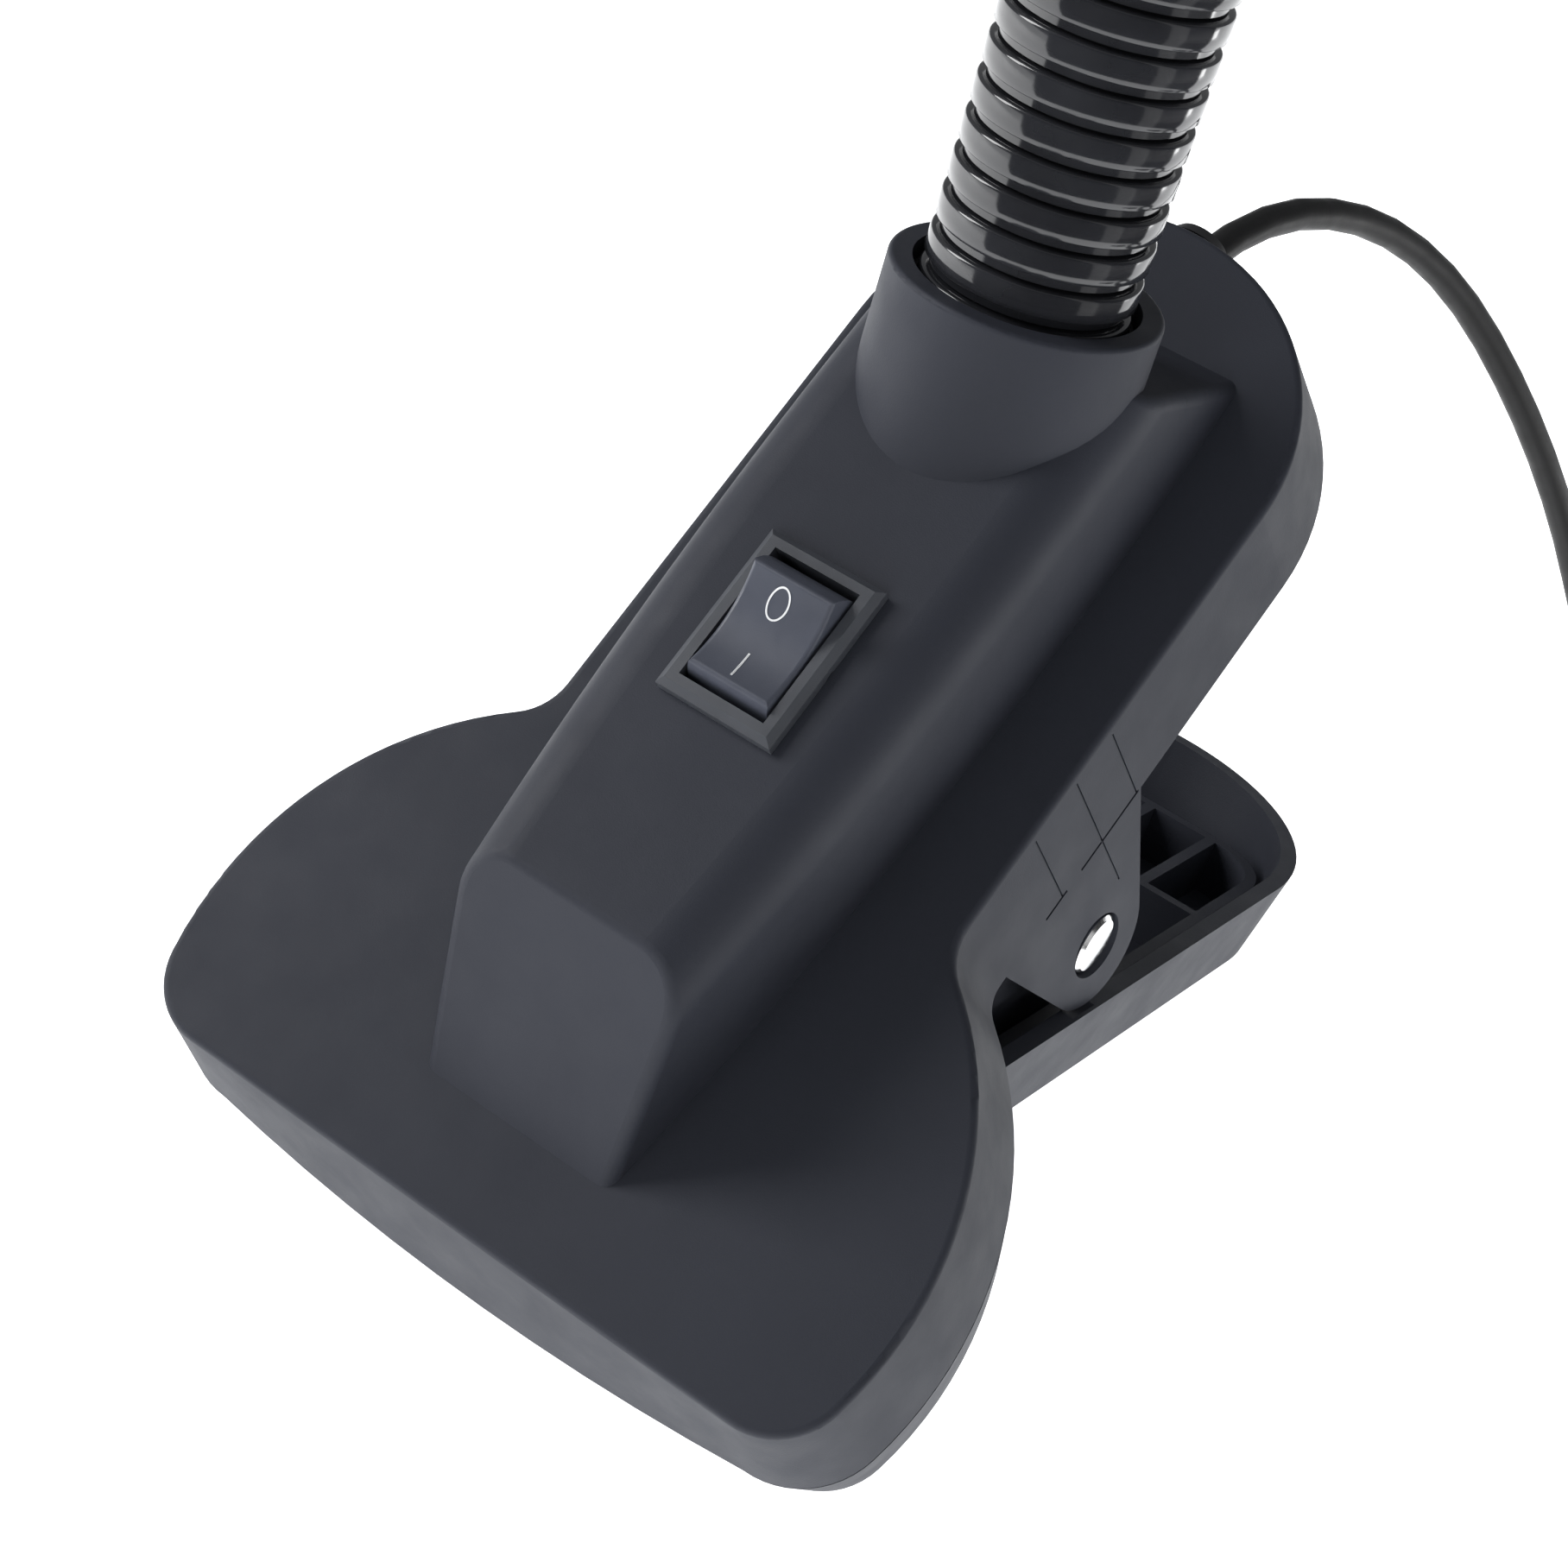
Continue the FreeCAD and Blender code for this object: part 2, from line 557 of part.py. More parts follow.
clamp_screws = [screw(p, bar_low, 8.6) for p in clamp_holes]
free_form("cord_clamp_screws", Part.makeCompound(clamp_screws), STAND)

bore = size("cord_radius")
turned("cord_grommet", [(bore, 0), (4.4, 0), (4.4, 1.0), (3.2, 1.0), (3.2, 3.5), (4.4, 3.5), (3.4, 5.0),
                        (bore, 5.0)],
       in_jaw(0, size("handle_reach") - 2.7, cord_level, Rotation(Z_AXIS, Y_AXIS)))

# ---------------------------------------------------------------- hinge
along_pin = Rotation(Z_AXIS, X_AXIS)
head_in = ear_face - size("head_thick")
pin_radius = size("pin_radius")
head_radius = size("head_radius")
turned("hinge_pin", [(0, -ear_face + 0.4), (pin_radius, -ear_face + 0.4), (pin_radius, head_in),
                     (head_radius, head_in), (head_radius, ear_face - 0.4),
                     (head_radius - 0.5, ear_face), (0, ear_face)],
       in_jaw(0, pin_centre.y, pin_centre.z, along_pin))
turned("hinge_pin_cap", [(pin_radius, 0), (head_radius, 0), (head_radius, 1.0), (head_radius - 0.5, 1.4),
                         (pin_radius, 1.4)],
       in_jaw(-head_in, pin_centre.y, pin_centre.z, Rotation(Z_AXIS, X_AXIS * -1)))

bush = primitive("Cylinder", Radius="@bush_radius", Height="@bush_long")
bush_bore = primitive("Cylinder", Radius="@pin_radius", Height="@bush_long")
keep(boolean("Cut", bush, bush_bore), "spring_bush",
     in_jaw(-size("bush_long") / 2, pin_centre.y, pin_centre.z, along_pin))

coil_radius = size("coil_radius")
wire_radius = size("spring_wire") / 2
coil_pitch = 2 * wire_radius + 0.3


def leaving_angle(target, way):
    """Angle round the pin at which a straight leg to the target leaves the coil."""
    away = target - pin_centre
    return math.atan2(away.z, away.y) + way * math.acos(coil_radius / math.hypot(away.y, away.z))


def coil_place(angle, x):
    """Frame on the pin's axis whose X points out at that angle."""
    out = Vector(0, math.cos(angle), math.sin(angle))
    return Placement(Vector(x, pin_centre.y, pin_centre.z), Rotation(out, X_AXIS.cross(out), X_AXIS))


def spring_turns(start_angle, x, turns):
    """Round wire wound about the pin, from that angle on."""
    helix = Part.makeHelix(coil_pitch, coil_pitch * turns, coil_radius)
    rise = Vector(0, coil_radius, coil_pitch / (2 * math.pi))
    section = round_section(wire_radius, Vector(coil_radius, 0, 0), rise)
    wound = Part.Wire(helix).makePipeShell([section], True, True)
    return wound.transformed(coil_place(start_angle, x).toMatrix())


def spring_leg(angle, x, target):
    """Straight leg from the coil to where it presses, with a slight swelling at the coil."""
    start = coil_place(angle, x).multVec(Vector(coil_radius, 0, 0))
    swelling = Part.makeSphere(wire_radius + 0.04, start)
    return fused(swelling, tube(start, Vector(x, target.y, target.z), wire_radius))


upper_target = Vector(10.2, 6.0, cover_level - wire_radius - 0.1)
upper_angle = leaving_angle(upper_target, 1)
upper_turns = 0.6
upper_start = -9.0
free_form("torsion_spring_upper_leg",
          fused(spring_turns(upper_angle, upper_start, upper_turns),
                spring_leg(upper_angle, upper_start, upper_target)), STAND)

lower_target = bend_point + handle_run * 66 + handle_down * (lower_rise - wall - wire_radius - 0.1)
lower_angle = leaving_angle(lower_target, -1)
start_angle = upper_angle + 2 * math.pi * upper_turns
lower_start = upper_start + coil_pitch * upper_turns + coil_pitch + 0.3
lower_turns = 7 + ((lower_angle - start_angle) / (2 * math.pi)) % 1
lower_end_x = lower_start + coil_pitch * lower_turns
free_form("torsion_spring",
          fused(spring_turns(start_angle, lower_start, lower_turns),
                spring_leg(lower_angle, lower_end_x, lower_target)), STAND)

# ---------------------------------------------------------------- switch, drawn about its cut-out's middle
switch_place = in_jaw(0, size("switch_y"), size("housing_top"))
pivot = Vector(0, 0, -size("pivot_drop"))
barrel_deep = size("barrel_deep")


def switch_frame():
    body = new_body("switch_frame")
    flange = new_sketch(body, "flange_plan", "XY_Plane")
    rectangle(flange, "@flange_wide", "@flange_long")
    top = pad(body, flange, "@flange_thick")
    doc.recompute()
    rims = ["Edge%d" % (i + 1) for i, e in enumerate(top.Shape.Edges)
            if abs(e.BoundBox.ZMin - size("flange_thick")) < 0.01]
    bevel = body.newObject("PartDesign::Chamfer", "Bevel")
    bevel.Base = (top, rims)
    bevel.Size = 0.8
    barrel = new_sketch(body, "barrel_plan", "XY_Plane")
    rectangle(barrel, "@barrel_wide", "@barrel_long")
    shaft = pad(body, barrel, "@barrel_deep")
    shaft.Reversed = True
    cavity = new_sketch(body, "cavity_plan", "XY_Plane", size("flange_thick"))
    rectangle(cavity, "@barrel_wide - 2 * @barrel_wall", "@barrel_long - 2 * @barrel_wall")
    pocket(body, cavity, "@flange_thick + @barrel_deep - 1")
    stubs = new_sketch(body, "pivot_holes", "YZ_Plane", -size("barrel_wide"))
    circle(stubs, "1.25", 0, pivot.z)
    pocket(body, stubs, "2 * @barrel_wide", True)
    return keep(body, "switch_frame", switch_place)


def switch_rocker():
    """Rocker drawn level on its pivot, then tipped with its front end down."""
    reach = size("rocker_reach")
    wide = size("rocker_wide")
    shoulder = math.radians(40)

    def at(angle):
        return Vector(0, reach * math.cos(angle), reach * math.sin(angle))
    rear_top, front_top = at(shoulder), at(math.pi - shoulder)
    rear_low, front_low = at(math.radians(-20)), at(math.radians(200))
    lines = [(rear_low, Vector(0, 3.2, -3)), (Vector(0, 3.2, -3), Vector(0, -3.2, -3)),
             (Vector(0, -3.2, -3), front_low)]
    edges = [Part.LineSegment(a, b).toShape() for a, b in lines]
    edges += [Part.Arc(front_low, at(math.pi), front_top).toShape(),
              Part.Arc(front_top, Vector(0, 0, 3.5), rear_top).toShape(),
              Part.Arc(rear_top, at(0), rear_low).toShape()]
    side = Part.Face(Part.Wire(Part.__sortEdges__(edges)))
    side.translate(X_AXIS * (-wide / 2))
    solid = side.extrude(X_AXIS * wide)
    solid = solid.makeFillet(0.5, edges_where(solid, lambda p: p.z > 3.2))
    stub = wide / 2 + 0.8
    solid = fused(solid, tube(X_AXIS * -stub, X_AXIS * stub, 1.2))
    solid = solid.cut(tube(Vector(0, 0, -4), Vector(0, 0, 2), 1.6))
    tip = Placement(pivot, Rotation(X_AXIS, size("rocker_tilt")))
    free_form("switch_rocker", solid, switch_place * tip)
    turned("rocker_plunger", [(0, -6.0), (0.8, -6.0), (1.5, -5.2), (1.5, -2.2), (0.6, -2.2), (0.6, -0.6),
                              (0, -0.6)], switch_place * tip)
    spring = Part.Wire(Part.makeHelix(0.8, 3.6, 1.1))
    section = round_section(0.2, Vector(1.1, 0, 0), Y_AXIS)
    wound = spring.makePipeShell([section], True, True)
    wound.translate(Vector(0, 0, -1.9))
    free_form("rocker_plunger_spring", wound, switch_place * tip)


def switch_contacts():
    """Three blades through the barrel's floor; the middle one carries the lever."""
    blades = []
    for y, top in ((-5.0, 1 - barrel_deep + 0.5), (0.0, 1 - barrel_deep + 1.4), (5.0, 1 - barrel_deep + 0.5)):
        blades.append(block((-2.3, y - 0.4, -barrel_deep - 7), (2.3, y + 0.4, top)))
    free_form("switch_contacts", Part.makeCompound(blades), switch_place)


switch_frame()
switch_rocker()
switch_contacts()
lever_level = -8.2
lever = primitive("Box", Length="4", Width="11", Height="0.6")
keep(lever, "switch_contact_lever",
     switch_place * Placement(Vector(0, 0, lever_level), Rotation(X_AXIS, -8)) *
     Placement(Vector(-2, -5.5, 0), Rotation()))

blade_foot = size("housing_top") - barrel_deep - 6
switch_y = size("switch_y")
supply = []
onward = []
for side in (-1, 1):
    supply.append(wire_run([Vector(side, 35.8, cord_level), Vector(side, 30.5, -4.5),
                            Vector(side * 2, 27.4, 0.2), Vector(side * 3.2, 12, 1.4),
                            Vector(side * 3.2, switch_y + 9, 1.4), Vector(side, switch_y + 5, blade_foot)],
                           0.6))
    onward.append(wire_run([Vector(side, switch_y - 5, blade_foot), Vector(side * 6, switch_y - 2, 2.6),
                            Vector(side * 6, -9, 3.4), Vector(side * 2, 1.0, 7.6),
                            rim_centre - neck_axis * 20 + X_AXIS * side * 1.4], 0.6))
free_form("supply_leads", Part.makeCompound(supply), STAND)
free_form("neck_leads", Part.makeCompound(onward), STAND)

# ---------------------------------------------------------------- neck
sleeve_radius = size("sleeve_radius")
groove_radius = size("groove_radius")
sleeve_inner = size("sleeve_inner")
core_radius = size("core_radius")
ring_pitch = size("ring_pitch")
groove_wide = ring_pitch - size("ridge")
wedge = math.tan(math.radians(size("link_swing") / 2))
end_gap = 0.2


def sleeve_profile(length, rings, cone_low, cone_high):
    """Annular rings outside; a coned end leaves room for the next link to swing."""
    def low(radius):
        return end_gap + radius * wedge if cone_low else 0.0

    def high(radius):
        return length - (end_gap + radius * wedge if cone_high else 0.0)
    points = [(sleeve_inner, high(sleeve_inner)), (sleeve_inner, low(sleeve_inner))]
    outline_points = []
    for ring in range(rings):
        foot = ring * ring_pitch + groove_wide / 2
        ridge_top = foot + size("ridge")
        outline_points += [(groove_radius, foot), (sleeve_radius, foot + 0.15),
                           (sleeve_radius, ridge_top - 0.15), (groove_radius, ridge_top)]
    kept = [(r, h) for r, h in outline_points if low(r) + 0.2 < h < high(r) - 0.2]
    first, last = kept[0], kept[-1]
    points += [(first[0], low(first[0]))] + kept + [(last[0], high(last[0]))]
    return points


def core_profile(length, cone_low, cone_high):
    ends = [(end_gap if cone else 0.0, (end_gap + core_radius * wedge) if cone else 0.0)
            for cone in (cone_low, cone_high)]
    return [(0, ends[0][0]), (core_radius, ends[0][1]), (core_radius, length - ends[1][1]),
            (0, length - ends[1][0])]


base_rings = int(size("base_rings"))
link_rings = int(size("link_rings"))
base_long = base_rings * ring_pitch
link_long = link_rings * ring_pitch
link_count = 6
first_joint = base_long - size("sleeve_start")
turned("neck_base_sleeve", sleeve_profile(base_long, base_rings, False, True), on_neck(-size("sleeve_start")))
turned("neck_base_core", core_profile(base_long, False, True), on_neck(-size("sleeve_start")))
for link in range(link_count):
    last = link == link_count - 1
    start = on_neck(first_joint + link * link_long)
    turned("neck_sleeve_%d" % (link + 1), sleeve_profile(link_long, link_rings, True, not last), start)
    turned("neck_core_%d" % (link + 1), core_profile(link_long, True, not last), start)

neck_end = first_joint + link_count * link_long
nipple_radius = size("nipple_radius")
nipple_shank = nipple_radius - 0.6
nipple_end = 6.0 + size("nipple_long")
turned("neck_end_ferrule", [(nipple_shank, 0), (12.6, 0), (12.6, 5.2), (11.8, 6.0), (nipple_shank, 6.0)],
       on_neck(neck_end))
turned("neck_end_nipple", [(3.6, 0), (nipple_shank, 0), (nipple_shank, 6.0), (nipple_radius, 6.0),
                           (nipple_radius, nipple_end - 0.7), (nipple_radius - 0.7, nipple_end),
                           (3.6, nipple_end)], on_neck(neck_end))
bore_deep = size("bore_depth")
turned("neck_base_ferrule", [(3.6, -9.5), (6.0, -9.5), (6.0, 0), (12.2, 0),
                             (12.2, bore_deep - size("sleeve_start")), (3.6, bore_deep - size("sleeve_start"))],
       on_neck(-bore_deep))


def lock_nut():
    body = new_body("neck_lock_nut")
    plan = new_sketch(body, "nut_plan", "XY_Plane")
    corners = [(9.2 * math.cos(math.radians(60 * i)), 9.2 * math.sin(math.radians(60 * i))) for i in range(6)]
    closed_profile(plan, corners)
    pad(body, plan, "3")
    hole = new_sketch(body, "nut_bore", "XY_Plane", 3.0)
    circle(hole, "6")
    pocket(body, hole, "3")
    return keep(body, "neck_lock_nut", on_neck(-bore_deep - size("ledge") - 3.0))


lock_nut()
ring_outside = size("collar_bore") - 0.1
turned("collar_ring", [(12.05, 0), (ring_outside, 0), (ring_outside, 1.0), (ring_outside - 0.3, 1.3),
                       (12.05, 1.3)], on_neck(-3.4))

# ---------------------------------------------------------------- cord, drawn in the table's frame
cord_radius = size("cord_radius")
coil_middle = size("coil_middle")
coil_centre = Vector(101, 104, 0)
plug_high = size("plug_high")
entry = STAND.multVec(Vector(0, 36, cord_level))
rise = STAND.multVec(Vector(0, 57.5, cord_level))
route = [entry, rise, Vector(11, 86, 98), Vector(33, 107, 66), Vector(50, 121, 27), Vector(72, 128, 2),
         Vector(101, 128, 2)]
tail = [Vector(125, 104, 10), Vector(125, 86, 8), Vector(125, 68, 4)]


def swept(points, radius):
    """Round cord along straight runs with tangent arcs in the corners; also its length and radii."""
    runs = [(b - a).Length for a, b in zip(points, points[1:])]
    edges = []
    radii = []
    last = points[0]
    for index in range(1, len(points) - 1):
        corner = points[index]
        into = (corner - points[index - 1]).normalize()
        out = (points[index + 1] - corner).normalize()
        turn = into.getAngle(out)
        cut = 0.45 * min(runs[index - 1], runs[index])
        bend_radius = cut / math.tan(turn / 2)
        start, end = corner - into * cut, corner + out * cut
        inward = (out - into).normalize()
        middle = corner + inward * (bend_radius / math.cos(turn / 2) - bend_radius)
        edges.append(Part.LineSegment(last, start).toShape())
        edges.append(Part.Arc(start, middle, end).toShape())
        radii.append(round(bend_radius, 1))
        last = end
    edges.append(Part.LineSegment(last, points[-1]).toShape())
    path = Part.Wire(edges)
    section = Part.Wire(Part.makeCircle(radius, points[0], points[1] - points[0]))
    return path.makePipeShell([section], True, True), path.Length, radii


cord, cord_run, cord_radii = swept(route, cord_radius)
tail_cord, tail_run, tail_radii = swept(tail, cord_radius)
coil_turns = (size("cord_long") - cord_run - tail_run) / (2 * math.pi * coil_middle)
print("cord: run", round(cord_run, 1), "radii", cord_radii, "tail", round(tail_run, 1), tail_radii,
      "turns in the coil", round(coil_turns, 2))
straight_volume = math.pi * cord_radius ** 2 * cord_run
print("cord: volume against section times length", round(cord.Volume / straight_volume, 3))
free_form("supply_cord", cord, HERE)
free_form("supply_cord_tail", tail_cord, HERE)
coil_low, coil_high = coil_middle - 3 * cord_radius, coil_middle + 3 * cord_radius
coil_top = 6 * cord_radius
turned("supply_cord_coil", [(coil_low, 1), (coil_low + 1, 0), (coil_high - 1, 0), (coil_high, 1),
                            (coil_high, coil_top - 1), (coil_high - 1, coil_top), (coil_low + 1, coil_top),
                            (coil_low, coil_top - 1)], Placement(coil_centre, Rotation()))


def plug_part(label, wide, high, long, start, hollow=0.0):
    """One of the plug's pieces, drawn along its own Z and laid down along -Y."""
    body = new_body(label)
    plan = new_sketch(body, label + "_plan", "XY_Plane")
    rectangle(plan, wide, high)
    solid = pad(body, plan, long)
    doc.recompute()
    if hollow:
        inner = new_sketch(body, label + "_hollow", "XY_Plane", size("shell_long"))
        rectangle(inner, wide + " - %s" % (2 * hollow), high + " - %s" % (2 * hollow))
        pocket(body, inner, long)
    else:
        upright = ["Edge%d" % (i + 1) for i, e in enumerate(solid.Shape.Edges)
                   if abs(e.Vertexes[0].Z - e.Vertexes[-1].Z) > 1]
        rounding = body.newObject("PartDesign::Fillet", "Corners")
        rounding.Base = (solid, upright)
        rounding.Radius = 1.0 if high.startswith("1") else 2.0
    return keep(body, label, Placement(Vector(tail[-1].x, tail[-1].y - start, plug_high / 2),
                                       Rotation(X_AXIS, 90)))


plug_part("usb_plug_body", "@plug_wide", "@plug_high", "@plug_long", 0)
plug_part("usb_plug_shell", "@shell_wide", "@shell_high", "@shell_long", size("plug_long"), 0.4)
tongue_bar = primitive("Box", Length="11.2", Width="1.8", Height="@shell_long - 1")
keep(tongue_bar, "usb_plug_tongue",
     Placement(Vector(tail[-1].x, tail[-1].y - size("plug_long"), plug_high / 2), Rotation(X_AXIS, 90)) *
     Placement(Vector(-5.6, 0, 0), Rotation()))

# ---------------------------------------------------------------- writing the nodes
doc.recompute()
os.makedirs("parts", exist_ok=True)
for piece in pieces:
    if "Invalid" in piece.State or "Error" in piece.State:
        raise RuntimeError(piece.Label + " failed to recompute")
    if piece.Shape.isNull() or not piece.Shape.isValid():
        raise RuntimeError(piece.Label + " has no sound shape")
    piece.Shape.exportStep("parts/%s.step" % piece.Label)
print(len(pieces), "sub-parts written")
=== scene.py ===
import json
import math

import bmesh
import bpy
from mathutils import Matrix, Vector


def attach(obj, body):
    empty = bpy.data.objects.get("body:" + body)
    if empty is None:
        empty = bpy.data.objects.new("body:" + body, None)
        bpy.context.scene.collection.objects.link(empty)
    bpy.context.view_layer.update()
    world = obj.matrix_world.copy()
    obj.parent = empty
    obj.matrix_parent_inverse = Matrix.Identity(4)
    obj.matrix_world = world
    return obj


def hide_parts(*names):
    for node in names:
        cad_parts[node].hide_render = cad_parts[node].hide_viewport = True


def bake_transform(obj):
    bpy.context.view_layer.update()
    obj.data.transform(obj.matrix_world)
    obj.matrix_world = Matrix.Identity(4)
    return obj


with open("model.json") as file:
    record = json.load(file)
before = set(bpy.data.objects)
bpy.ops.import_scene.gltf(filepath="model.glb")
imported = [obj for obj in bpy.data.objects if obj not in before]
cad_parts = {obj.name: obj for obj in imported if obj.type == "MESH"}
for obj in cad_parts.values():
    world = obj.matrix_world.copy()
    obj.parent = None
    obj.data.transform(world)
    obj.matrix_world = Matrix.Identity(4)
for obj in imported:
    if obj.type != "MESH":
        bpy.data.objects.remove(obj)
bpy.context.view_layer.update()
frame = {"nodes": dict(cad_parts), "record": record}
nodes = frame["nodes"]
record = frame["record"]
MM = 0.001


# ---------------------------------------------------------------- places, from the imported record
def unit(values):
    return Vector(values).normalized()


def joint(name):
    return next(j for j in record["behaviour"]["joints"] if j["name"] == name)


def mount(name):
    return next(m for m in record["mounts"] if m["name"] == name)


NECK_AXIS = unit(mount("neck_thread")["axis"])
MOUTH_AXIS = unit(mount("mouth")["axis"])
PIN = Vector(joint("jaw_hinge")["pos_m"])
FIRST_JOINT = Vector(joint("neck_nod_1")["pos_m"])
# the jaw frame: X to the right, Y along the upper jaw's plate, Z out of it
JAW_Y = -MOUTH_AXIS
JAW_Z = Vector((1, 0, 0)).cross(JAW_Y)
PIN_IN_JAW = Vector((0, -23.9, -30.3)) * MM
JAW = Matrix((Vector((1, 0, 0)), JAW_Y, JAW_Z)).transposed().to_4x4()
JAW.translation = PIN - JAW.to_3x3() @ PIN_IN_JAW


def jaw(x, y, z):
    """A point given in millimetres in the jaw frame."""
    return JAW @ (Vector((x, y, z)) * MM)


# ---------------------------------------------------------------- camera
FOCAL = 67.54
CAMERA_AT = jaw(123.1, -111.1, 291.9)
CAMERA_AIM = Vector((-0.0007, -0.0262, 0.0579))
CAMERA_ROLL = math.radians(13.97)
camera = bpy.data.objects.new("camera", bpy.data.cameras.new("camera"))
bpy.context.scene.collection.objects.link(camera)
camera.data.lens = FOCAL
camera.data.shift_x = -0.0077
camera.data.shift_y = -0.0138
camera.data.clip_start = 0.01
gaze = (CAMERA_AIM - CAMERA_AT).to_track_quat("-Z", "Y").to_matrix().to_4x4()
camera.matrix_world = Matrix.Translation(CAMERA_AT) @ gaze @ Matrix.Rotation(CAMERA_ROLL, 4, "Z")
bpy.context.scene.camera = camera


# ---------------------------------------------------------------- materials
class Look:
    """A procedural material under construction: one shader, and chains of nodes into it."""

    def __init__(self, name, colour, roughness, metallic=0.0, specular=0.5, coat=0.0):
        self.material = bpy.data.materials.new(name)
        self.material.use_nodes = True
        self.tree = self.material.node_tree
        self.shader = self.tree.nodes["Principled BSDF"]
        self.shader.inputs["Base Color"].default_value = (*colour, 1)
        self.shader.inputs["Roughness"].default_value = roughness
        self.shader.inputs["Metallic"].default_value = metallic
        self.shader.inputs["Specular IOR Level"].default_value = specular
        self.shader.inputs["Coat Weight"].default_value = coat
        self.shader.inputs["Coat Roughness"].default_value = 0.12
        self.place = self.node("ShaderNodeTexCoord").outputs["Object"]
        self.colour = colour
        self.height = None

    def node(self, kind, **settings):
        made = self.tree.nodes.new(kind)
        for name, value in settings.items():
            setattr(made, name, value)
        return made

    def link(self, source, target):
        self.tree.links.new(source, target)

    def noise(self, scale, detail=3.0, roughness=0.55, stretch=(1, 1, 1)):
        """Noise over the object, its scale in features per metre."""
        place = self.place
        if stretch != (1, 1, 1):
            mapping = self.node("ShaderNodeMapping")
            mapping.inputs["Scale"].default_value = stretch
            self.link(self.place, mapping.inputs["Vector"])
            place = mapping.outputs["Vector"]
        made = self.node("ShaderNodeTexNoise")
        made.inputs["Scale"].default_value = scale
        made.inputs["Detail"].default_value = detail
        made.inputs["Roughness"].default_value = roughness
        self.link(place, made.inputs["Vector"])
        return made.outputs["Fac"]

    def ramp(self, source, low, high, low_value, high_value):
        made = self.node("ShaderNodeMapRange")
        made.inputs["From Min"].default_value = low
        made.inputs["From Max"].default_value = high
        made.inputs["To Min"].default_value = low_value
        made.inputs["To Max"].default_value = high_value
        self.link(source, made.inputs["Value"])
        return made.outputs["Result"]

    def vary_colour(self, source, low, high, darker, lighter):
        """Shades the base colour between two multiples of itself."""
        made = self.node("ShaderNodeMix", data_type="RGBA")
        made.inputs["A"].default_value = (*[c * darker for c in self.colour], 1)
        made.inputs["B"].default_value = (*[min(c * lighter, 1) for c in self.colour], 1)
        self.link(self.ramp(source, low, high, 0, 1), made.inputs["Factor"])
        self.link(made.outputs["Result"], self.shader.inputs["Base Color"])
        return self

    def vary_roughness(self, source, low, high, smooth, rough):
        self.link(self.ramp(source, low, high, smooth, rough), self.shader.inputs["Roughness"])
        return self

    def bump(self, source, depth):
        """Adds a relief of that depth in metres to what is there already."""
        made = self.node("ShaderNodeBump")
        made.inputs["Distance"].default_value = depth
        self.link(source, made.inputs["Height"])
        if self.height is not None:
            self.link(self.height, made.inputs["Normal"])
        self.height = made.outputs["Normal"]
        self.link(self.height, self.shader.inputs["Normal"])
        return self


def jaw_plastic():
    look = Look("jaw_plastic", (0.034, 0.037, 0.049), 0.55, specular=0.26)
    look.vary_colour(look.noise(28, 4), 0.3, 0.7, 0.93, 1.07)
    look.vary_roughness(look.noise(160, 4), 0.3, 0.7, 0.52, 0.62)
    look.bump(look.noise(5200, 2, 0.6), 0.00002)
    return look.bump(look.noise(900, 3), 0.00001)


def soft_rubber(name, colour, grain):
    look = Look(name, colour, 0.62, specular=0.4)
    look.vary_colour(look.noise(60, 4), 0.3, 0.7, 0.8, 1.25)
    look.vary_roughness(look.noise(300, 3), 0.3, 0.7, 0.54, 0.7)
    return look.bump(look.noise(grain, 3), 0.00004)


def gloss_black(name, colour, roughness, scratches=0.0):
    look = Look(name, colour, roughness, specular=0.6, coat=0.35)
    look.vary_colour(look.noise(90, 3), 0.3, 0.7, 0.85, 1.3)
    look.vary_roughness(look.noise(420, 4), 0.3, 0.75, roughness * 0.75, roughness * 1.5)
    if scratches:
        look.bump(look.noise(1400, 3, 0.6, (1, 1, 0.15)), scratches)
    return look.bump(look.noise(300, 2), 0.00001)


def switch_plastic(name, colour, roughness):
    look = Look(name, colour, roughness, specular=0.5)
    look.vary_colour(look.noise(150, 3), 0.3, 0.7, 0.9, 1.12)
    look.vary_roughness(look.noise(700, 4), 0.3, 0.7, roughness * 0.88, roughness * 1.15)
    return look.bump(look.noise(6500, 2), 0.000012)


def steel(name, colour, roughness, along=(1, 1, 1), depth=0.00001):
    look = Look(name, colour, roughness, metallic=1.0)
    brushed = look.noise(2600, 4, 0.6, along)
    look.vary_colour(look.noise(200, 3), 0.3, 0.7, 0.86, 1.08)
    look.vary_roughness(brushed, 0.3, 0.7, roughness * 0.7, roughness * 1.35)
    return look.bump(brushed, depth)


def moulded(name, colour, roughness=0.5, grain=3800):
    look = Look(name, colour, roughness, specular=0.45)
    look.vary_colour(look.noise(70, 3), 0.3, 0.7, 0.9, 1.1)
    look.vary_roughness(look.noise(350, 3), 0.3, 0.7, roughness * 0.9, roughness * 1.15)
    return look.bump(look.noise(grain, 2), 0.000015)


